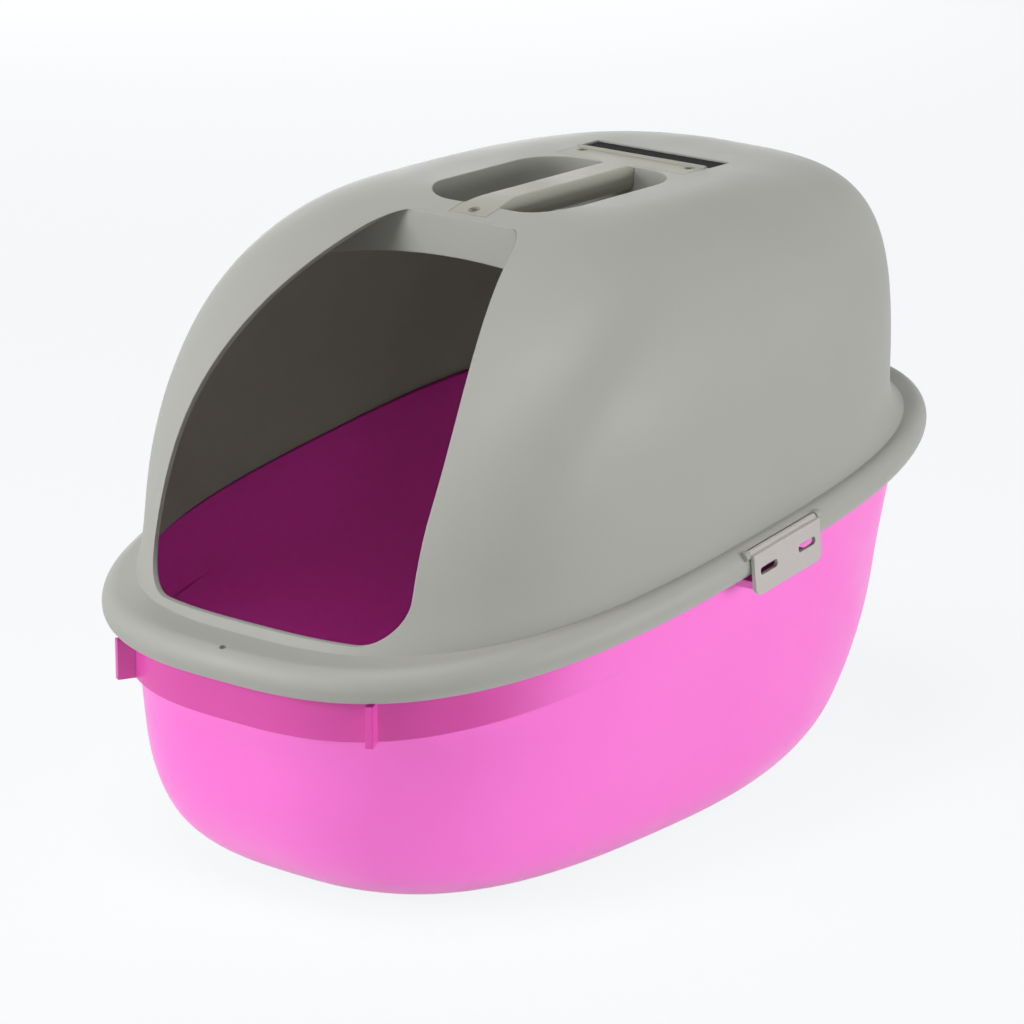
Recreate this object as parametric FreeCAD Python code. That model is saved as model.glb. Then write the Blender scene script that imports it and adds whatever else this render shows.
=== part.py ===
import FreeCAD, Part
import math
import os

# Hooded litter box: a pan with a rim that rises to the back, a domed hood that
# lifts off it, a carrying handle, two side clips and a carbon filter in a pocket.
# Millimetres, +Z up, entrance towards -Y, origin under the middle of the floor.

# Rim, shared by pan and hood
RIM_LENGTH = 565.0
RIM_WIDTH = 371.0
RIM_HEIGHT = 179.6          # hood's lower edge, half way along the box
RIM_SLOPE = 0.133           # rise of the rim for each unit towards the back
RIM_POWER = 2.85            # fullness of the rim's corners
BEAD_HEIGHT = 21.0
BEAD_BULGE = 8.5
BEAD_TUCK = 60.0            # degrees that the bead turns in below its widest line
WALL = 2.5
SEAT_GAP = 0.3              # hood's shelf over the pan's lip

# Hood
ROOF_HEIGHT = 385.9
ROOF_WALL = 3.0
DOME_INSET = 9.5            # dome's foot inside the bead's widest line
FRONT_INSET = 37.9          # dome's front inside the rim's, above its flared foot
BACK_INSET = 41.2
ROOF_MARGIN = 108.1         # flat part of the roof inside the rim, at each side
ROOF_FRONT = 18.1           # reach of the roof's flat part to the front
ROOF_BACK_INSET = 125.8
FRONT_FLARE = 12.0
BACK_FLARE = 22.0
FLARE_RISE = 0.16           # share of the dome's height that the flare takes
FRONT_LEAN = 1.64           # power of the front's leaning profile
SIDE_SHOULDER = 4.38        # powers of the upright profile at the sides and the back
BACK_SHOULDER = 13.0
DOME_MIDDLE = 5.0           # middle of the dome's outline at its foot
DOME_SHIFT = 27.5           # how far that middle moves back up to the roof
FRONT_SQUARING = 1.73       # gain of the outline's fullness in front, up to the roof
BACK_EASING = 0.09          # loss of it at the back

# Entrance
ENTRANCE_WIDTH = 201.0
SILL_DROP = 7.6             # entrance's sill below the hood's edge half way along
ENTRANCE_UPRIGHT = 79.143   # height of the entrance's upright sides
ENTRANCE_CORNER = 28.0
CROWN_WIDTH = 98.6          # entrance's width at the roof's front edge
CROWN_DROP = 7.6            # that edge below the roof
CROWN_ROUND = 28.0
LINTEL_REACH = 60.4         # front face of the lintel
LINTEL_DROP = 32.4          # lintel's lower edge below the roof
LINTEL_RADIUS = 460.0
SILL_HOLE_RADIUS = 2.2
SILL_HOLE_INSET = 8.0       # moulding mark on the bead, inside the rim's front

# Pan
FLOOR_MARGIN = 88.1         # floor inside the rim: sides, front and back
FLOOR_FRONT_INSET = 98.4
FLOOR_BACK_INSET = 153.1
SIDE_ROUND = 41.1
FRONT_ROUND = 80.2
BACK_ROUND = 119.5
SIDE_DRAFT = 0.182
FRONT_DRAFT = 0.002
BACK_DRAFT = 0.098
PAN_FRONT_POWER = 2.84      # fullness of the pan's corners
PAN_BACK_POWER = 2.59
FLOOR_WALL = 3.0
LIP_MARGIN = 7.5            # pan's lip inside the bead's widest line
LIP_WALL = 2.5
BAND_HEIGHT = 26.0          # band at the front, below the hood's edge
BAND_INSET = 12.0           # band's front inside the rim's
BAND_MARGIN = 20.0          # the band sinks into the pan's wider sides
BAND_POWER = 2.9
RIB_THICKNESS = 4.5
RIB_HEIGHT = 25.0
RIB_MARGIN = 86.443         # rib's middle inside the rim's side
RIB_INSET = 3.0             # rib's outer end inside the bead's widest line
RIB_DEPTH = 22.0
RIB_TURN = 27.0             # degrees from straight ahead

# Handle and its well
WELL_WIDTH = 110.0
WELL_BACK_INSET = 68.1      # well's rear edge before the end of the roof's flat part
WELL_CORNER = 30.0
WELL_DEPTH = 34.0
BAR_WIDTH = 28.0
BAR_DEPTH = 15.0
BAR_ROUND = 6.0
TONGUE_LENGTH = 13.0
TONGUE_MARGIN = 6.0         # tongue's tip behind the roof's front edge
TONGUE_DROP = 10.0          # tongue's underside below the roof
TONGUE_PEG_DROP = 4.6       # head of the tongue's peg below the roof
STRIP_WIDTH = 100.0
STRIP_LENGTH = 24.0
STRIP_THICKNESS = 4.0
STRIP_LIP = 1.5
STRIP_GAP = 3.0             # well's rear edge to the strip
HANDLE_FIT = 0.3
PEG_RADIUS = 2.2
PEG_HEAD_RADIUS = 3.6
PEG_HEAD = 1.4
PEG_LENGTH = 9.0
PEG_DIMPLE = 1.8
PEG_SPREAD = 84.0
PEG_SETBACK = 4.0           # rear pegs behind the strip's middle
PEG_FIT = 0.05

# Carbon filter and its pocket
SLOT_WIDTH = 104.0
SLOT_LENGTH = 21.0
POCKET_WIDTH = 102.0
POCKET_LENGTH = 19.0
POCKET_DEPTH = 68.0
POCKET_WALL = 1.6
FLANGE_WIDTH = 120.0
FLANGE_LENGTH = 28.0
FLANGE_WALL = 2.0
FLANGE_DROP = 0.5           # flange below the roof's inside, resting on its rails
FILTER_FIT = 0.5
FILTER_HEIGHT = 69.0
VENT_WIDTH = 6.0
VENT_COUNT = 7
VENT_FOOT = 6.4             # vents' lower ends above the pocket's underside
VENT_HEAD = 12.8            # vents' upper ends below the roof
RAIL_WALL = 2.0
RAIL_HOOK = 6.0
RAIL_SETBACK = 4.0
RAIL_SHORT = 2.0            # rail's rear end before the flange's

# Side clips
CLIP_PLACE = 17.5
CLIP_LENGTH = 66.0
CLIP_WALL = 2.6
CLIP_BOTTOM = -10.0         # below the hood's lower edge
CLIP_CORNER = 6.0
CLIP_GAP = 0.5
WINDOW_LENGTH = 17.0
WINDOW_HEIGHT = 5.0
WINDOW_SPREAD = 38.0
WINDOW_PLACE = 4.5
WINDOW_ROUND = 2.2
AXIS_TURN = 35.0            # clip's axis on the bead, degrees above its widest line
KNUCKLE_RADIUS = 2.2
KNUCKLE_FIT = 0.4
TRUNNION_RADIUS = 1.2
TRUNNION_LENGTH = 3.6
TRUNNION_FIT = 0.05
EAR_RADIUS = 3.0
EAR_LENGTH = 4.4
BOSS_DEPTH = 7.0
LEDGE_REACH = 3.0           # pan's catch ledge inside the bead's widest line
LEDGE_TOP = -3.0
LEDGE_WALL = 5.0
LEDGE_LENGTH = 56.0
CATCH_FIT = 0.4

ALIKE = 0.9                 # cosine above which two directions count as one
OUTLINE_POINTS = 32
DOME_STEPS = 14
PAN_STEPS = 12
BEAD_STEPS = 6

HALF_LENGTH = RIM_LENGTH / 2
HALF_WIDTH = RIM_WIDTH / 2
UP = FreeCAD.Vector(0, 0, 1)
BEHIND = FreeCAD.Vector(0, 1, 0)
ASIDE = FreeCAD.Vector(1, 0, 0)
TALL = 2 * ROOF_HEIGHT
DOME_FRONT = HALF_LENGTH - FRONT_INSET
DOME_BACK = HALF_LENGTH - BACK_INSET
ROOF_HALF = HALF_WIDTH - ROOF_MARGIN
ROOF_BACK = HALF_LENGTH - ROOF_BACK_INSET
ENTRANCE_SILL = RIM_HEIGHT - SILL_DROP
ENTRANCE_SPRING = ENTRANCE_SILL + ENTRANCE_UPRIGHT
CROWN_TOP = ROOF_HEIGHT - CROWN_DROP
LINTEL_HEIGHT = ROOF_HEIGHT - LINTEL_DROP
SILL_HOLE_REACH = HALF_LENGTH - SILL_HOLE_INSET
FLOOR_HALF = HALF_WIDTH - FLOOR_MARGIN
FLOOR_FRONT = HALF_LENGTH - FLOOR_FRONT_INSET
FLOOR_BACK = HALF_LENGTH - FLOOR_BACK_INSET
BAND_REACH = HALF_LENGTH - BAND_INSET
BAND_HALF = HALF_WIDTH - BAND_MARGIN
RIB_PLACE = HALF_WIDTH - RIB_MARGIN
TONGUE_TIP = TONGUE_MARGIN - LINTEL_REACH
WELL_FRONT = TONGUE_TIP + TONGUE_LENGTH
WELL_BACK = ROOF_BACK - WELL_BACK_INSET
TONGUE_FLOOR = ROOF_HEIGHT - TONGUE_DROP
STRIP_FRONT = WELL_BACK + STRIP_GAP
STRIP_BACK = STRIP_FRONT + STRIP_LENGTH
STRIP_FLOOR = ROOF_HEIGHT - STRIP_THICKNESS
SLOT_BACK = STRIP_BACK + SLOT_LENGTH
ROOF_UNDER = ROOF_HEIGHT - ROOF_WALL
FLANGE_TOP = ROOF_UNDER - FLANGE_DROP
DOME_FOOT = RIM_HEIGHT + BEAD_HEIGHT
AXIS_X = HALF_WIDTH - BEAD_BULGE * (1 - math.cos(math.radians(AXIS_TURN)))
AXIS_RISE = BEAD_HEIGHT / 2 * (1 + math.sin(math.radians(AXIS_TURN)))
ROOM_LENGTH = CLIP_LENGTH + 2 * KNUCKLE_FIT
TRUNNION_SPAN = CLIP_LENGTH + 2 * TRUNNION_LENGTH


def vec(x, y, z):
    return FreeCAD.Vector(x, y, z)


def box(low, high):
    """A block between two corners."""
    size = [b - a for a, b in zip(low, high)]
    return Part.makeBox(size[0], size[1], size[2], vec(*low))


def rounded_prism(low, high, radius):
    """An upright block whose vertical edges are rounded."""
    block = box(low, high)
    upright = [e for e in block.Edges if abs(e.tangentAt(e.FirstParameter).z) > ALIKE]
    return block.makeFillet(radius, upright)


def largest(shape):
    """The main solid, without slivers that a cut leaves."""
    return max(shape.Solids, key=lambda solid: solid.Volume)


def outline(half_width, front, back, middle, powers, height, slope):
    """A closed rounded outline that starts at the back and lies in a sloping plane."""
    points = []
    for step in range(OUTLINE_POINTS):
        angle = math.pi / 2 + 2 * math.pi * step / OUTLINE_POINTS
        across = math.cos(angle)
        along = math.sin(angle)
        reach = back - middle if along > 0 else middle + front
        power = powers[1] if along > 0 else powers[0]
        total = abs(across / half_width) ** power + abs(along / reach) ** power
        radius = total ** (-1 / power)
        y = middle + radius * along
        points.append(vec(radius * across, y, height + slope * y))
    curve = Part.BSplineCurve()
    spans = [step / OUTLINE_POINTS for step in range(OUTLINE_POINTS + 1)]
    curve.interpolate(Points=points, PeriodicFlag=True, Parameters=spans)
    return Part.Wire([curve.toShape()])


def rim_outline(inset, rise):
    """The rim's outline, drawn in by inset and lifted above the hood's lower edge."""
    return outline(HALF_WIDTH - inset, HALF_LENGTH - inset, HALF_LENGTH - inset, 0.0,
                   (RIM_POWER, RIM_POWER), RIM_HEIGHT + rise, RIM_SLOPE)


def rim_slab(inset, low, high):
    """A sloping slab with the rim's outline."""
    face = Part.Face(rim_outline(inset, low))
    return face.extrude(UP * (high - low))


def bead_solid(skin):
    """The rolled bead as a solid disc, or its hollow when skin is the wall."""
    bulge = BEAD_BULGE - skin
    half_height = BEAD_HEIGHT / 2 - skin
    sections = []
    for step in range(BEAD_STEPS + 1):
        angle = math.radians(-BEAD_TUCK + (90 + BEAD_TUCK) * step / BEAD_STEPS)
        inset = BEAD_BULGE - bulge * math.cos(angle)
        rise = BEAD_HEIGHT / 2 + half_height * math.sin(angle)
        sections.append(rim_outline(inset, rise))
    return Part.makeLoft(sections, True)


def dome_outline(share, skin, foot, roof):
    """The dome's outline at a share of the height from its foot to the roof."""
    foot_half = HALF_WIDTH - DOME_INSET
    half = ROOF_HALF + (foot_half - ROOF_HALF) * math.sqrt(1 - share ** SIDE_SHOULDER)
    lean = (1 - share ** FRONT_LEAN) ** (1 / FRONT_LEAN)
    front = ROOF_FRONT + (DOME_FRONT - ROOF_FRONT) * lean
    back = ROOF_BACK + (DOME_BACK - ROOF_BACK) * math.sqrt(1 - share ** BACK_SHOULDER)
    flare = max(0.0, 1 - share / FLARE_RISE) ** 2
    front += FRONT_FLARE * flare
    back += BACK_FLARE * flare
    middle = DOME_MIDDLE + DOME_SHIFT * share
    powers = (RIM_POWER + FRONT_SQUARING * share, RIM_POWER - BACK_EASING * share)
    height = foot + (roof - foot) * share
    return outline(half - skin, front - skin, back - skin, middle, powers, height,
                   RIM_SLOPE * (1 - share))


def dome_solid(skin, foot, roof):
    """The dome as a solid, or its hollow when skin is the wall."""
    sections = []
    for step in range(DOME_STEPS + 1):
        share = (1 - math.cos(math.pi * step / DOME_STEPS)) / 2
        sections.append(dome_outline(share, skin, foot, roof))
    return Part.makeLoft(sections, True)


def entrance_prism():
    """The entrance's outline, cut straight back to the lintel."""
    half = ENTRANCE_WIDTH / 2
    crown = CROWN_WIDTH / 2
    rise = CROWN_TOP - ENTRANCE_SPRING
    lean = ((half - crown) ** 2 + rise ** 2) / (2 * (half - crown))
    turn = math.asin(rise / lean) / 2
    bulge_x = half - lean + lean * math.cos(turn)
    bulge_z = ENTRANCE_SPRING + lean * math.sin(turn)
    corner = ENTRANCE_CORNER * (1 - math.sqrt(0.5))
    start = -2 * HALF_LENGTH

    def at(x, z):
        return vec(x, start, z)

    def side(sign):
        low = at(sign * (half - ENTRANCE_CORNER), ENTRANCE_SILL)
        bend = at(sign * (half - corner), ENTRANCE_SILL + corner)
        up = at(sign * half, ENTRANCE_SILL + ENTRANCE_CORNER)
        spring = at(sign * half, ENTRANCE_SPRING)
        shoulder = at(sign * bulge_x, bulge_z)
        top = at(sign * crown, CROWN_TOP)
        edges = [Part.Arc(low, bend, up).toShape()]
        edges.append(Part.makeLine(up, spring))
        edges.append(Part.Arc(spring, shoulder, top).toShape())
        return edges, low, top

    right, right_low, right_top = side(1)
    left, left_low, left_top = side(-1)
    edges = right + left
    edges.append(Part.makeLine(left_low, right_low))
    edges.append(Part.makeLine(right_top, left_top))
    face = Part.Face(Part.Wire(Part.__sortEdges__(edges)))
    prism = face.extrude(BEHIND * (-start - LINTEL_REACH))
    shoulders = [e for e in prism.Edges if abs(e.tangentAt(e.FirstParameter).y) > ALIKE
                 and e.CenterOfMass.z > CROWN_TOP - HANDLE_FIT]
    return prism.makeFillet(CROWN_ROUND, shoulders)


def lintel(room):
    """The plate across the dome behind the entrance's top, with an arched lower edge."""
    slab = box((-HALF_WIDTH, -LINTEL_REACH, ENTRANCE_SPRING),
               (HALF_WIDTH, -LINTEL_REACH + WALL, ROOF_HEIGHT))
    arch = Part.makeCylinder(LINTEL_RADIUS, RIM_LENGTH,
                             vec(0, -HALF_LENGTH, LINTEL_HEIGHT - LINTEL_RADIUS), BEHIND)
    return slab.common(room).cut(arch)


def handle_plan(drop, fit):
    """The T of the handle's tongue and strip as upright blocks, grown by fit."""
    half = BAR_WIDTH / 2 + fit
    tongue = box((-half, TONGUE_TIP - fit, TONGUE_FLOOR - drop), (half, 0, TALL))
    neck = box((-half, 0, STRIP_FLOOR - drop), (half, STRIP_BACK, TALL))
    strip = box((-STRIP_WIDTH / 2 - fit, STRIP_FRONT - fit, STRIP_FLOOR - drop),
                (STRIP_WIDTH / 2 + fit, STRIP_BACK, TALL))
    return tongue.fuse([neck, strip])


def peg_places():
    """Where the handle's pegs stand, in plan."""
    rear = (STRIP_FRONT + STRIP_BACK) / 2 + PEG_SETBACK
    front = WELL_FRONT - TONGUE_LENGTH / 2
    return [(0.0, front), (-PEG_SPREAD / 2, rear), (PEG_SPREAD / 2, rear)]


def peg_top(place):
    """Height of a peg's head, on the tongue or on the strip."""
    return ROOF_HEIGHT - TONGUE_PEG_DROP if place[1] < 0 else ROOF_HEIGHT


def well_block(grow, floor):
    """The handle's well as an upright block, grown by a wall."""
    return rounded_prism((-WELL_WIDTH / 2 - grow, WELL_FRONT - grow, floor),
                         (WELL_WIDTH / 2 + grow, WELL_BACK + grow, TALL),
                         WELL_CORNER + grow)


def slope_frame(shape, side):
    """Moves a clip's shape from the rim's own frame to the right or left side."""
    placed = shape.copy()
    placed.rotate(vec(0, 0, 0), ASIDE, math.degrees(math.atan(RIM_SLOPE)))
    placed.translate(vec(0, CLIP_PLACE, RIM_HEIGHT + RIM_SLOPE * CLIP_PLACE))
    if side < 0:
        placed = placed.mirror(vec(0, 0, 0), ASIDE)
    return placed


def along_rim(radius, length, x, rise):
    """A round bar along the rim, centred on the clip."""
    return Part.makeCylinder(radius, length, vec(x, -length / 2, rise), BEHIND)


def clip_boss(bead):
    """The block inside the bead and the two ears that carry a clip's trunnions."""
    half = ROOM_LENGTH / 2 + EAR_LENGTH
    inner = HALF_WIDTH - LIP_MARGIN + CLIP_GAP
    block = box((inner, -half, AXIS_RISE - BOSS_DEPTH), (HALF_WIDTH, half, BEAD_HEIGHT))
    ears = along_rim(EAR_RADIUS, 2 * half, AXIS_X, AXIS_RISE)
    ears = ears.cut(along_rim(2 * EAR_RADIUS, ROOM_LENGTH, AXIS_X, AXIS_RISE))
    return slope_frame(block, 1).common(bead).fuse(slope_frame(ears, 1))


def clip_room():
    """What the clip's knuckle and trunnions take out of the bead."""
    trough = along_rim(KNUCKLE_RADIUS + KNUCKLE_FIT, ROOM_LENGTH, AXIS_X, AXIS_RISE)
    bearing = along_rim(TRUNNION_RADIUS + TRUNNION_FIT, TRUNNION_SPAN + 2 * KNUCKLE_FIT,
                        AXIS_X, AXIS_RISE)
    return slope_frame(trough.fuse(bearing), 1)


def clip_plate(start, end):
    """The clip's plate with its two windows."""
    half = CLIP_LENGTH / 2
    plate = box((start, -half, CLIP_BOTTOM), (end, half, AXIS_RISE))
    lower = [e for e in plate.Edges
             if abs(e.tangentAt(e.FirstParameter).x) > ALIKE and e.CenterOfMass.z < 0]
    plate = plate.makeFillet(CLIP_CORNER, lower)
    for sign in (-1, 1):
        middle = sign * WINDOW_SPREAD / 2
        window = box((0, middle - WINDOW_LENGTH / 2, WINDOW_PLACE - WINDOW_HEIGHT / 2),
                     (TALL, middle + WINDOW_LENGTH / 2, WINDOW_PLACE + WINDOW_HEIGHT / 2))
        ends = [e for e in window.Edges if abs(e.tangentAt(e.FirstParameter).x) > ALIKE]
        plate = plate.cut(window.makeFillet(WINDOW_ROUND, ends))
    return plate


def clip(side):
    """A hinged clip: plate, knuckle, trunnions and the bead that grips the pan's ledge."""
    start = HALF_WIDTH + CLIP_GAP
    end = start + CLIP_WALL
    body = clip_plate(start, end)
    knuckle = along_rim(KNUCKLE_RADIUS, CLIP_LENGTH, AXIS_X, AXIS_RISE)
    neck = box((AXIS_X, -CLIP_LENGTH / 2, AXIS_RISE - KNUCKLE_RADIUS),
               (start, CLIP_LENGTH / 2, AXIS_RISE))
    trunnion = along_rim(TRUNNION_RADIUS, TRUNNION_SPAN, AXIS_X, AXIS_RISE)
    catch_reach = HALF_WIDTH - LEDGE_REACH + CATCH_FIT
    catch_radius = start - catch_reach
    for sign in (-1, 1):
        grip = Part.makeCylinder(catch_radius, WINDOW_LENGTH,
                                 vec(start, (sign * WINDOW_SPREAD - WINDOW_LENGTH) / 2,
                                     LEDGE_TOP - LEDGE_WALL / 2), BEHIND)
        inside = box((0, -CLIP_LENGTH, CLIP_BOTTOM), (end, CLIP_LENGTH, AXIS_RISE))
        body = body.fuse(grip.common(inside))
    body = body.fuse([neck, knuckle, trunnion]).removeSplitter()
    return slope_frame(body, side)


def hood():
    """The hood's shell with everything moulded into it."""
    bead = bead_solid(0.0)
    dome = dome_solid(0.0, DOME_FOOT, ROOF_HEIGHT)
    bead_room = bead_solid(WALL)
    below = rim_slab(BEAD_BULGE - (BEAD_BULGE - WALL) * math.cos(math.radians(BEAD_TUCK)),
                     -WALL, BEAD_HEIGHT / 2 - (BEAD_HEIGHT / 2 - WALL)
                     * math.sin(math.radians(BEAD_TUCK)))
    room = dome_solid(WALL, DOME_FOOT - WALL, ROOF_UNDER)
    outer = bead.fuse(dome)
    shell = outer.cut(bead_room).cut(below).cut(room)
    shell = shell.cut(entrance_prism())
    shell = shell.fuse(lintel(room))

    well = well_block(WALL, ROOF_HEIGHT - WELL_DEPTH - WALL).common(dome)
    seat = handle_plan(ROOF_WALL, WALL).common(dome)
    seat = seat.cut(box((-HALF_WIDTH, STRIP_BACK, 0), (HALF_WIDTH, HALF_LENGTH, TALL)))
    shell = shell.fuse([well, seat])
    for rail in filter_rails():
        shell = shell.fuse(rail)
    shell = shell.cut(well_block(0.0, ROOF_HEIGHT - WELL_DEPTH))
    shell = shell.cut(handle_plan(0.0, HANDLE_FIT))
    slot = box((-SLOT_WIDTH / 2, STRIP_BACK - HANDLE_FIT, ROOF_UNDER - ROOF_WALL),
               (SLOT_WIDTH / 2, SLOT_BACK, TALL))
    shell = shell.cut(slot)
    for place in peg_places():
        foot = peg_top(place) - PEG_LENGTH - HANDLE_FIT
        shell = shell.cut(Part.makeCylinder(PEG_RADIUS + PEG_FIT, TALL, vec(place[0], place[1], foot), UP))
    mark_foot = RIM_HEIGHT - SILL_HOLE_REACH * RIM_SLOPE + BEAD_HEIGHT / 2
    mark = Part.makeCylinder(SILL_HOLE_RADIUS, BEAD_HEIGHT * 2,
                             vec(0, -SILL_HOLE_REACH, mark_foot), UP)
    shell = shell.cut(mark)
    for side in (1, -1):
        boss = clip_boss(bead)
        take = clip_room()
        if side < 0:
            boss = boss.mirror(vec(0, 0, 0), ASIDE)
            take = take.mirror(vec(0, 0, 0), ASIDE)
        shell = shell.fuse(boss).cut(take)
    return largest(shell)


def filter_rails():
    """Two hooked rails under the roof that hold the filter pocket's flange."""
    rails = []
    front = STRIP_BACK + RAIL_SETBACK
    back = STRIP_BACK + FLANGE_LENGTH - RAIL_SHORT
    foot = FLANGE_TOP - FLANGE_WALL - RAIL_WALL
    for sign in (-1, 1):
        edge = FLANGE_WIDTH / 2 + HANDLE_FIT
        web = box((edge, front, foot), (edge + RAIL_WALL, back, ROOF_UNDER + ROOF_WALL / 2))
        hook = box((edge - RAIL_HOOK, front, foot), (edge, back, foot + RAIL_WALL))
        rail = web.fuse(hook)
        if sign < 0:
            rail = rail.mirror(vec(0, 0, 0), ASIDE)
        rails.append(rail)
    return rails


def pan_outline(share, skin, floor, lift):
    """The pan's outline at a share of the height from the floor to the lip."""
    def reach(flat, curve, draft, top):
        rise = share * top
        lack = 1 - min(rise, curve) / curve
        return flat + curve * math.sqrt(1 - lack ** 2) + draft * rise

    top = RIM_HEIGHT + lift
    half = reach(FLOOR_HALF, SIDE_ROUND, SIDE_DRAFT, top)
    front = reach(FLOOR_FRONT, FRONT_ROUND, FRONT_DRAFT, top - RIM_SLOPE * HALF_LENGTH)
    back = reach(FLOOR_BACK, BACK_ROUND, BACK_DRAFT, top + RIM_SLOPE * HALF_LENGTH)
    middle = (back - front) / 2
    height = floor + (top - floor) * share
    return outline(half - skin, front - skin, back - skin, middle,
                   (PAN_FRONT_POWER, PAN_BACK_POWER), height, RIM_SLOPE * share)


def pan_solid(skin, floor, lift):
    """The pan as a solid, or its hollow when skin is the wall."""
    sections = []
    for step in range(PAN_STEPS + 1):
        sections.append(pan_outline((step / PAN_STEPS) ** 2, skin, floor, lift))
    return Part.makeLoft(sections, True)


def band_solid(skin, low, high):
    """The front band as a sloping slab that sinks into the pan's sides."""
    wire = outline(BAND_HALF - skin, BAND_REACH - skin, FLOOR_BACK, 0.0,
                   (BAND_POWER, RIM_POWER), RIM_HEIGHT + low, RIM_SLOPE)
    return Part.Face(wire).extrude(UP * (high - low))


def corner_rib(side):
    """An upright rib under the rim at a front corner, square to the rim."""
    across = RIB_PLACE / (HALF_WIDTH - RIB_INSET)
    y = -(HALF_LENGTH - RIB_INSET) * (1 - across ** RIM_POWER) ** (1 / RIM_POWER)
    rib = box((-RIB_THICKNESS / 2, 0, -RIB_HEIGHT), (RIB_THICKNESS / 2, RIB_DEPTH, 0))
    rib.rotate(vec(0, 0, 0), UP, side * RIB_TURN)
    rib.translate(vec(side * RIB_PLACE, y, RIM_HEIGHT + RIM_SLOPE * y))
    return rib


def pan():
    """The pan's shell with its lip, front band, corner ribs and clip ledges."""
    lip_top = BEAD_HEIGHT - WALL - SEAT_GAP
    body = pan_solid(0.0, 0.0, lip_top)
    body = body.fuse(band_solid(0.0, -BAND_HEIGHT, lip_top))
    body = body.fuse(rim_slab(LIP_MARGIN, lip_top - LIP_WALL, lip_top))
    for side in (1, -1):
        ledge = box((HALF_WIDTH - LEDGE_REACH - SIDE_ROUND, -LEDGE_LENGTH / 2, LEDGE_TOP - LEDGE_WALL),
                    (HALF_WIDTH - LEDGE_REACH, LEDGE_LENGTH / 2, LEDGE_TOP))
        body = body.fuse(slope_frame(ledge, side))
        body = body.fuse(corner_rib(side))
    room = pan_solid(WALL, FLOOR_WALL, lip_top)
    body = body.cut(room)
    body = body.cut(band_solid(WALL, -BAND_HEIGHT + WALL, TALL))
    return largest(body)


def carry_handle(dome):
    """The T-shaped handle: tongue, rounded bar and rear strip with its lip."""
    flats = handle_plan(0.0, 0.0).common(dome)
    bar_under = ROOF_HEIGHT - BAR_DEPTH
    bar = box((-BAR_WIDTH / 2, WELL_FRONT + HANDLE_FIT, bar_under),
              (BAR_WIDTH / 2, WELL_BACK - HANDLE_FIT, ROOF_HEIGHT))
    edges = [e for e in bar.Edges if abs(e.tangentAt(e.FirstParameter).y) > ALIKE]
    bar = bar.makeFillet(BAR_ROUND, edges)
    over = box((-BAR_WIDTH, WELL_FRONT + HANDLE_FIT, 0), (BAR_WIDTH, WELL_BACK - HANDLE_FIT, TALL))
    body = flats.cut(over).fuse(bar.common(dome))
    lip = Part.makeCylinder(STRIP_LIP, STRIP_WIDTH,
                            vec(-STRIP_WIDTH / 2, STRIP_BACK - STRIP_LIP, ROOF_HEIGHT), ASIDE)
    body = body.fuse(lip)
    for place in peg_places():
        top = peg_top(place)
        body = body.cut(Part.makeCylinder(PEG_RADIUS, TALL, vec(place[0], place[1], 0), UP))
        body = body.cut(Part.makeCylinder(PEG_HEAD_RADIUS, TALL,
                                          vec(place[0], place[1], top - PEG_HEAD), UP))
    return body.removeSplitter()


def handle_pegs():
    """Push pegs with a dimpled head, seated in the handle."""
    pegs = []
    for place in peg_places():
        top = peg_top(place)
        head = Part.makeCylinder(PEG_HEAD_RADIUS, PEG_HEAD, vec(place[0], place[1], top - PEG_HEAD), UP)
        shank = Part.makeCylinder(PEG_RADIUS, PEG_LENGTH, vec(place[0], place[1], top - PEG_LENGTH), UP)
        dimple = Part.makeCylinder(PEG_DIMPLE, PEG_HEAD * 2, vec(place[0], place[1], top - PEG_HEAD * 2), UP)
        pegs.append(head.fuse(shank).cut(dimple).removeSplitter())
    return Part.makeCompound(pegs)


def filter_holder():
    """The slotted pocket that hangs below the filter slot."""
    front = STRIP_BACK + HANDLE_FIT
    middle = front + POCKET_WALL + POCKET_LENGTH / 2
    half = POCKET_WIDTH / 2 + POCKET_WALL
    depth = POCKET_LENGTH / 2 + POCKET_WALL
    body = box((-half, middle - depth, FLANGE_TOP - POCKET_DEPTH), (half, middle + depth, FLANGE_TOP))
    body = body.fuse(box((-FLANGE_WIDTH / 2, front, FLANGE_TOP - FLANGE_WALL),
                         (FLANGE_WIDTH / 2, front + FLANGE_LENGTH, FLANGE_TOP)))
    body = body.cut(box((-POCKET_WIDTH / 2, middle - POCKET_LENGTH / 2,
                         FLANGE_TOP - POCKET_DEPTH + POCKET_WALL),
                        (POCKET_WIDTH / 2, middle + POCKET_LENGTH / 2, TALL)))
    pitch = POCKET_WIDTH / VENT_COUNT
    for step in range(VENT_COUNT):
        x = (step - (VENT_COUNT - 1) / 2) * pitch
        vent = box((x - VENT_WIDTH / 2, 0, FLANGE_TOP - POCKET_DEPTH + VENT_FOOT),
                   (x + VENT_WIDTH / 2, HALF_LENGTH, FLANGE_TOP - VENT_HEAD))
        body = body.cut(vent)
    return body


def carbon_filter():
    """The carbon pad that stands in the pocket."""
    front = STRIP_BACK + HANDLE_FIT + POCKET_WALL + FILTER_FIT
    floor = FLANGE_TOP - POCKET_DEPTH + POCKET_WALL
    return rounded_prism((-POCKET_WIDTH / 2 + FILTER_FIT, front, floor),
                         (POCKET_WIDTH / 2 - FILTER_FIT, front + POCKET_LENGTH - 2 * FILTER_FIT,
                          floor + FILTER_HEIGHT), POCKET_WALL)


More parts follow.
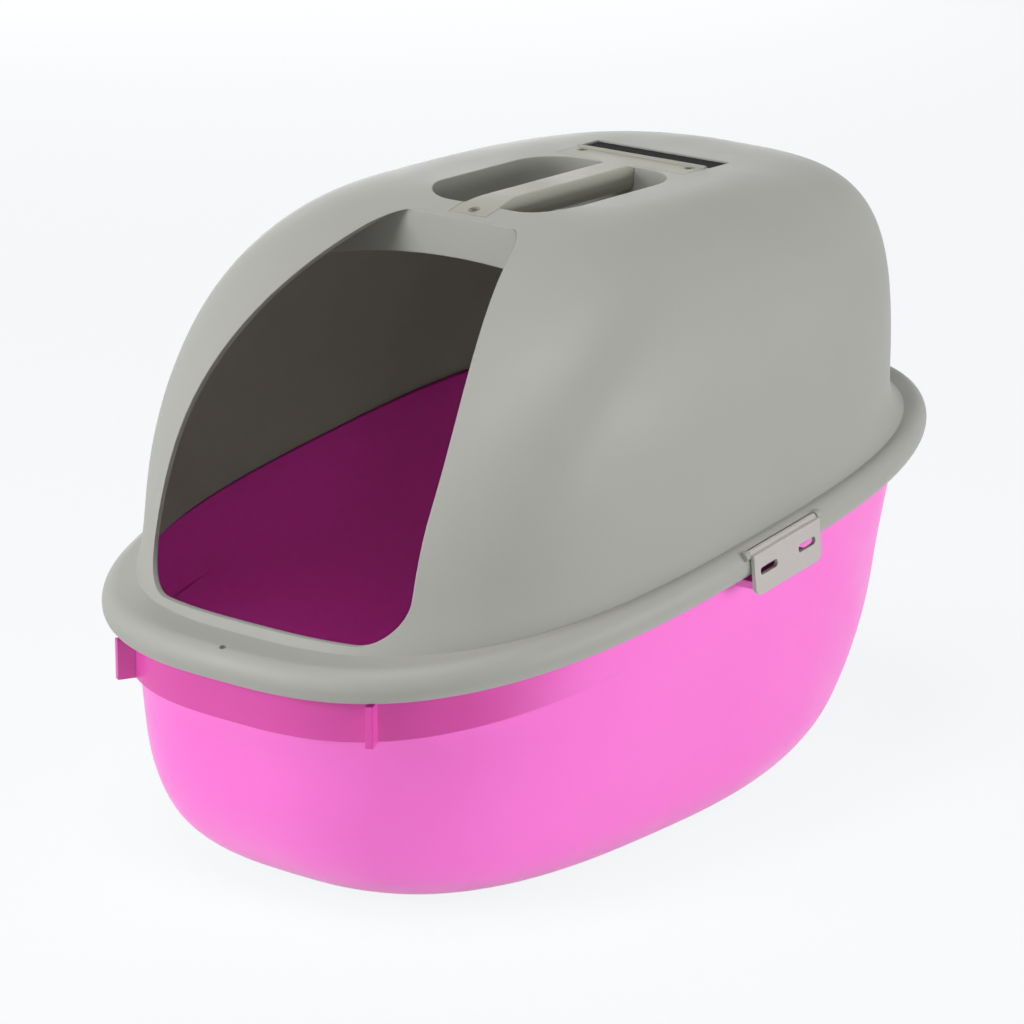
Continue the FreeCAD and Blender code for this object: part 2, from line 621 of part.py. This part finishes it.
def main():
    os.makedirs("parts", exist_ok=True)
    dome = dome_solid(0.0, DOME_FOOT, ROOF_HEIGHT)
    pieces = {
        "litter_pan": pan(),
        "hood": hood(),
        "carry_handle": carry_handle(dome),
        "handle_pegs": handle_pegs(),
        "filter_holder": filter_holder(),
        "carbon_filter": carbon_filter(),
        "clip_right": clip(1),
        "clip_left": clip(-1),
    }
    for name, shape in pieces.items():
        low = shape.BoundBox
        print(name, shape.ShapeType, len(shape.Solids), shape.isValid(), round(shape.Volume),
              [round(v, 1) for v in (low.XMin, low.XMax, low.YMin, low.YMax, low.ZMin, low.ZMax)])
        shape.exportStep("parts/" + name + ".step")


main()
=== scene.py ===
import math

import bpy
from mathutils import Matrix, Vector

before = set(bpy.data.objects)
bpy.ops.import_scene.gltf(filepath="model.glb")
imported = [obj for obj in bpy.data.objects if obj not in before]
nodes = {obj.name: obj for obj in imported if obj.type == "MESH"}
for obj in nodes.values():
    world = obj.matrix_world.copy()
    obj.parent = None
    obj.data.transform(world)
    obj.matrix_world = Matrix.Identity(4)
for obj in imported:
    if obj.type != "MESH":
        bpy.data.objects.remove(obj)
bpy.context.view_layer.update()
scene = bpy.context.scene


# Colours, as the surfaces look under white light (0 to 255)
HOOD_GREY = (163, 163, 156)
HANDLE_GREY = (160, 158, 146)
CLIP_GREY = (188, 182, 178)
PEG_GREY = (112, 111, 106)
PAN_PINK = (255, 116, 215)
PAN_BAND_SHADE = (224, 74, 172)       # painted shade on the front band under the hood's rim, and a painted deeper pink inside the pan for light bounced round in it; both tones are fitted to the photo
PAN_INSIDE_BOUNCE_TINT = (255, 60, 206)     # light alone made them; these tones are fitted to it
PAN_BOUNCE = (234, 238, 222)    # near white, in place of the pink thrown on floor and hood
CARBON = (30, 30, 31)

# Soft edges that moulding leaves, in metres
SHELL_EDGE = 0.0012
BAR_EDGE = 0.0009
CLIP_EDGE = 0.0006
PEG_EDGE = 0.0004
EDGE_SAMPLES = 6

# Noises of the surfaces: cells per metre and octaves
DRIFT_NOISE = (6.0, 4.0)        # slow changes of colour
SMEAR_NOISE = (22.0, 5.0)       # uneven sheen
WAVE_NOISE = (14.0, 1.0)        # slow waves of the wall
SPARK_NOISE = (1400.0, 2.0)     # spark-eroded grain
SPECK_NOISE = (420.0, 6.0)      # carbon grains
FLEECE_NOISE = (900.0, 4.0)     # felt
NOISE_LOW, NOISE_HIGH = 0.3, 0.7    # most of a noise lies between these

WAVE_STRENGTH, WAVE_DEPTH = 0.12, 0.0012
SPARK_DEPTH = 0.00016
PLASTIC_SPECULAR = 0.42
FLEECE_STRENGTH, FLEECE_DEPTH = 0.9, 0.0006
FELT_SPREAD = 0.45
FELT_ROUGHNESS = 0.95
FELT_SPECULAR = 0.15

# Where shade is painted: the band under the pan's rim, which slopes up towards the back, in
# metres
RIM_SLOPE = 0.133
BAND_FOOT = 0.1546              # height of the band's foot half way along the box
BAND_BLEND = 0.004
BAND_FADE = -0.215              # the painted shade is whole in front of this, and ends by the next
BAND_END = -0.12

# The pan's inside, painted a deeper pink for the light bounced round in it, is what faces the
# middle of the box, or up
INSIDE_UPWARDS = 0.15
INSIDE_START, INSIDE_FULL = -0.02, -0.06

# Round softboxes: azimuth, height, distance, size and watts.
# The azimuth runs from the entrance (0) to the box's right side (90).
SOFTBOXES = {
    "front": (-30, 0.9, 2.5, 1.3, 31.5),
    "right side": (105, 0.2, 2.6, 1.6, 47.0),
    "top": (14, 2.5, 0.9, 1.2, 30.0),
    "back fill": (-135, 0.5, 2.8, 1.6, 14.0),
}
SOFTBOX_TARGET = (0, 0, 0.2)

# A soft spot on the lintel and the hood's inside
SPOT_PLACE = (1.6, -1.7, 0.6)
SPOT_TARGET = (-0.06, -0.1, 0.34)
SPOT_SPREAD = 9                 # degrees
SPOT_SIZE = 0.6
SPOT_POWER = 120.0

# The studio's walls, its dimmer ceiling and its unlit end
BACKDROP = (0.965, 0.98, 1.0, 1.0)
HORIZON_LIGHT = 0.54
CEILING_LIGHT = 0.13
WALL_TOP = 0.8                  # sine of the elevation where the light is down to the ceiling's
DARK_SIDE = (0.62, -0.76, 0.18)
DARK_SHARE = 0.15               # of the light, in the middle of the unlit end
DARK_EDGE = 0.4                 # cosine of the angle from that middle where the light is whole

FLOOR_REACH = 12.0
FLOOR_WHITENESS = 0.88          # share of the floor that shows as plain backdrop
FLOOR_PAINT = (0.9, 0.91, 0.93, 1.0)
FLOOR_ROUGHNESS = 0.9
FLOOR_SPECULAR = 0.1

# Camera of the photograph
CAMERA_PLACE = (1.82491, -2.22967, 1.03990)
CAMERA_TARGET = (0.0, -0.0054, 0.19)
CAMERA_LENS = 171.3
CAMERA_SENSOR = 36.0
CAMERA_SHIFT = (-0.0076, -0.0107)


def linear(colour):
    """A colour written as 0 to 255 display values, as linear light."""
    def one(value):
        share = value / 255
        return share / 12.92 if share <= 0.04045 else ((share + 0.055) / 1.055) ** 2.4
    return tuple(one(value) for value in colour) + (1.0,)


def shade(colour, factor):
    """A linear colour made darker or lighter, up to white."""
    return tuple(min(1.0, part * factor) for part in colour[:3]) + (1.0,)


def feed(tree, socket, value):
    """Links a socket to a node's output, or gives it a plain value."""
    if isinstance(value, bpy.types.NodeSocket):
        tree.links.new(value, socket)
    else:
        socket.default_value = value


def ranged(tree, value, before, after=(0.0, 1.0), smooth=False):
    """A value carried over from one range to another."""
    node = tree.nodes.new("ShaderNodeMapRange")
    node.interpolation_type = "SMOOTHSTEP" if smooth else "LINEAR"
    names = ("From Min", "From Max", "To Min", "To Max")
    for name, limit in zip(names, before + after):
        feed(tree, node.inputs[name], limit)
    feed(tree, node.inputs["Value"], value)
    return node.outputs["Result"]


def joined(tree, operation, first, second):
    """Two values put together by one operation."""
    node = tree.nodes.new("ShaderNodeMath")
    node.operation = operation
    feed(tree, node.inputs[0], first)
    feed(tree, node.inputs[1], second)
    return node.outputs["Value"]


def along(tree, vector, direction):
    """How far a vector reaches along a direction."""
    node = tree.nodes.new("ShaderNodeVectorMath")
    node.operation = "DOT_PRODUCT"
    feed(tree, node.inputs[0], vector)
    feed(tree, node.inputs[1], direction)
    return node.outputs["Value"]


def noise(tree, place, kind):
    """A noise texture in the object's own coordinates."""
    node = tree.nodes.new("ShaderNodeTexNoise")
    node.inputs["Scale"].default_value, node.inputs["Detail"].default_value = kind
    feed(tree, node.inputs["Vector"], place)
    return node.outputs["Fac"]


def tinted(tree, value, colour, spread):
    """A colour that drifts round its mean with a noise value."""
    node = tree.nodes.new("ShaderNodeValToRGB")
    dark, light = node.color_ramp.elements
    dark.position, light.position = NOISE_LOW, NOISE_HIGH
    dark.color = shade(colour, 1 - spread)
    light.color = shade(colour, 1 + spread)
    feed(tree, node.inputs["Fac"], value)
    return node.outputs["Color"]


def mixed(tree, share, paint, other):
    """A colour that goes over to another one with a share."""
    node = tree.nodes.new("ShaderNodeMix")
    node.data_type = "RGBA"
    first, second = [socket for socket in node.inputs if socket.type == "RGBA"]
    feed(tree, node.inputs["Factor"], share)
    feed(tree, first, paint)
    feed(tree, second, other)
    return [socket for socket in node.outputs if socket.type == "RGBA"][0]


def relief(tree, value, strength, depth, before=None):
    """A bump from a noise value, on top of an earlier one."""
    node = tree.nodes.new("ShaderNodeBump")
    node.inputs["Strength"].default_value = strength
    node.inputs["Distance"].default_value = depth
    feed(tree, node.inputs["Height"], value)
    if before:
        feed(tree, node.inputs["Normal"], before)
    return node.outputs["Normal"]


def rounded(tree, radius):
    """Normals that turn softly round the edges."""
    node = tree.nodes.new("ShaderNodeBevel")
    node.samples = EDGE_SAMPLES
    node.inputs["Radius"].default_value = radius
    return node.outputs["Normal"]


def band_shade_mask(tree, place):
    """1 on the front band under the pan's sloping rim, where shade is painted; 0 further down
    and back.
    """
    height = along(tree, place, (0.0, -RIM_SLOPE, 1.0))
    high = ranged(tree, height, (BAND_FOOT - BAND_BLEND, BAND_FOOT), smooth=True)
    ahead = ranged(tree, along(tree, place, (0.0, 1.0, 0.0)), (BAND_END, BAND_FADE), smooth=True)
    return joined(tree, "MULTIPLY", high, ahead)


def facing_in(tree, place, normal):
    """1 on the faces of the open pan that look into it, painted a deeper pink for bounced light.
    """
    outwards = tree.nodes.new("ShaderNodeVectorMath")
    outwards.operation = "MULTIPLY_ADD"
    feed(tree, outwards.inputs[0], place)
    feed(tree, outwards.inputs[1], (1.0, 1.0, 0.0))
    feed(tree, outwards.inputs[2], (0.0, 0.0, -INSIDE_UPWARDS))
    facing = along(tree, outwards.outputs["Vector"], normal)
    return ranged(tree, facing, (INSIDE_START, INSIDE_FULL))


def start_material(name):
    """A new material, with its node tree, its shader's inputs and the coordinates."""
    material = bpy.data.materials.new(name)
    material.use_nodes = True
    tree = material.node_tree
    coords = tree.nodes.new("ShaderNodeTexCoord").outputs
    return material, tree, tree.nodes["Principled BSDF"].inputs, coords


def moulded(name, colour, rough, sheen, grain, spread, edge, pan=False):
    """Moulded plastic: spark-eroded grain, slow waves of the wall and an uneven sheen."""
    material, tree, shader, coords = start_material(name)
    place = coords["Object"]
    paint = tinted(tree, noise(tree, place, DRIFT_NOISE), linear(colour), spread)
    if pan:
        # painted shade on the front band under the hood's rim
        paint = mixed(tree, band_shade_mask(tree, place), paint, linear(PAN_BAND_SHADE))
        # painted deeper pink inside the pan, standing in for light bounced round in it
        paint = mixed(tree, facing_in(tree, place, coords["Normal"]), paint, linear(PAN_INSIDE_BOUNCE_TINT))
        rays = tree.nodes.new("ShaderNodeLightPath").outputs
        paint = mixed(tree, rays["Is Diffuse Ray"], paint, linear(PAN_BOUNCE))
    feed(tree, shader["Base Color"], paint)
    smears = noise(tree, place, SMEAR_NOISE)
    roughness = ranged(tree, smears, (NOISE_LOW, NOISE_HIGH), (rough - sheen, rough + sheen))
    feed(tree, shader["Roughness"], roughness)
    waves = noise(tree, place, WAVE_NOISE)
    surface = relief(tree, waves, WAVE_STRENGTH, WAVE_DEPTH, rounded(tree, edge))
    sparks = noise(tree, place, SPARK_NOISE)
    feed(tree, shader["Normal"], relief(tree, sparks, grain, SPARK_DEPTH, surface))
    shader["Specular IOR Level"].default_value = PLASTIC_SPECULAR
    return material


def carbon_felt(name, colour):
    """Felt with carbon grains: a rough fleece with dark specks."""
    material, tree, shader, coords = start_material(name)
    specks = noise(tree, coords["Object"], SPECK_NOISE)
    feed(tree, shader["Base Color"], tinted(tree, specks, linear(colour), FELT_SPREAD))
    fleece = noise(tree, coords["Object"], FLEECE_NOISE)
    feed(tree, shader["Normal"], relief(tree, fleece, FLEECE_STRENGTH, FLEECE_DEPTH))
    shader["Roughness"].default_value = FELT_ROUGHNESS
    shader["Specular IOR Level"].default_value = FELT_SPECULAR
    return material


def finish_nodes():
    """Gives every node its material."""
    hood = moulded("hood_moulded", HOOD_GREY, rough=0.52, sheen=0.05, grain=0.3, spread=0.02,
                   edge=SHELL_EDGE)
    clip = moulded("clip_moulded", CLIP_GREY, rough=0.48, sheen=0.05, grain=0.25, spread=0.02,
                   edge=CLIP_EDGE)
    finishes = {
        "litter_pan": moulded("pan_moulded", PAN_PINK, rough=0.4, sheen=0.06, grain=0.14,
                              spread=0.015, edge=SHELL_EDGE, pan=True),
        "hood": hood,
        "carry_handle": moulded("handle_moulded", HANDLE_GREY, rough=0.5, sheen=0.06, grain=0.3,
                                spread=0.025, edge=BAR_EDGE),
        "handle_pegs": moulded("peg_moulded", PEG_GREY, rough=0.5, sheen=0.05, grain=0.2,
                               spread=0.03, edge=PEG_EDGE),
        "filter_holder": hood,
        "carbon_filter": carbon_felt("carbon_felt", CARBON),
        "clip_right": clip,
        "clip_left": clip,
    }
    for name, material in finishes.items():
        slots = nodes[name].data.materials
        slots.clear()
        slots.append(material)


def placed(name, data, place, target):
    """A lamp or a camera at a place, looking at a target."""
    thing = bpy.data.objects.new(name, data)
    scene.collection.objects.link(thing)
    thing.location = place
    thing.rotation_mode = "QUATERNION"
    thing.rotation_quaternion = (Vector(target) - Vector(place)).to_track_quat("-Z", "Y")
    return thing


def make_lamps():
    """The softboxes round the box, and the spot on the lintel."""
    for name, (azimuth, height, distance, size, power) in SOFTBOXES.items():
        turn = math.radians(azimuth)
        box = bpy.data.lights.new(name, "AREA")
        box.shape = "DISK"
        box.size = size
        box.energy = power
        place = (distance * math.sin(turn), -distance * math.cos(turn), height)
        placed(name, box, place, SOFTBOX_TARGET)
    spot = bpy.data.lights.new("lintel", "SPOT")
    spot.spot_size = math.radians(SPOT_SPREAD)
    spot.spot_blend = 1.0
    spot.shadow_soft_size = SPOT_SIZE
    spot.energy = SPOT_POWER
    placed("lintel", spot, SPOT_PLACE, SPOT_TARGET)


def backdrop_mask(tree):
    """1 for rays that show the backdrop: from the camera, off gloss and through glass."""
    rays = tree.nodes.new("ShaderNodeLightPath").outputs
    mask = joined(tree, "MAXIMUM", rays["Is Camera Ray"], rays["Is Glossy Ray"])
    return joined(tree, "MAXIMUM", mask, rays["Is Transmission Ray"])


def make_world():
    """Studio light from the walls, seen as plain backdrop by the camera."""
    world = bpy.data.worlds.new("studio")
    scene.world = world
    world.use_nodes = True
    tree = world.node_tree
    light = tree.nodes["Background"].inputs
    light["Color"].default_value = BACKDROP
    way = tree.nodes.new("ShaderNodeTexCoord").outputs["Generated"]
    rise = along(tree, way, (0.0, 0.0, 1.0))
    walls = ranged(tree, rise, (0.0, WALL_TOP), (HORIZON_LIGHT, CEILING_LIGHT))
    towards = along(tree, way, DARK_SIDE)
    share = ranged(tree, towards, (DARK_EDGE, 1.0), (1.0, DARK_SHARE), smooth=True)
    lit = joined(tree, "MULTIPLY", walls, share)
    feed(tree, light["Strength"], ranged(tree, backdrop_mask(tree), (0.0, 1.0), (lit, 1.0)))


def make_floor():
    """A pale floor that shows mostly as backdrop and keeps the object's shadow."""
    mesh = bpy.data.meshes.new("floor")
    signs = ((-1, -1), (1, -1), (1, 1), (-1, 1))
    corners = [(x * FLOOR_REACH, y * FLOOR_REACH, 0) for x, y in signs]
    mesh.from_pydata(corners, [], [(0, 1, 2, 3)])
    floor = bpy.data.objects.new("floor", mesh)
    scene.collection.objects.link(floor)
    paper = bpy.data.materials.new("floor_paper")
    paper.use_nodes = True
    tree = paper.node_tree
    shader = tree.nodes["Principled BSDF"]
    shader.inputs["Base Color"].default_value = FLOOR_PAINT
    shader.inputs["Roughness"].default_value = FLOOR_ROUGHNESS
    shader.inputs["Specular IOR Level"].default_value = FLOOR_SPECULAR
    plain = tree.nodes.new("ShaderNodeEmission")
    plain.inputs["Color"].default_value = BACKDROP
    share = ranged(tree, backdrop_mask(tree), (0.0, 1.0), (0.0, FLOOR_WHITENESS))
    mix = tree.nodes.new("ShaderNodeMixShader")
    feed(tree, mix.inputs["Fac"], share)
    feed(tree, mix.inputs[1], shader.outputs["BSDF"])
    feed(tree, mix.inputs[2], plain.outputs["Emission"])
    feed(tree, tree.nodes["Material Output"].inputs["Surface"], mix.outputs["Shader"])
    mesh.materials.append(paper)


def make_camera():
    """The camera that was fitted to the photograph."""
    data = bpy.data.cameras.new("camera")
    data.sensor_width = CAMERA_SENSOR
    data.lens = CAMERA_LENS
    data.shift_x, data.shift_y = CAMERA_SHIFT
    scene.camera = placed("camera", data, CAMERA_PLACE, CAMERA_TARGET)


finish_nodes()
make_lamps()
make_world()
make_floor()
make_camera()
scene.view_settings.view_transform = "Standard"
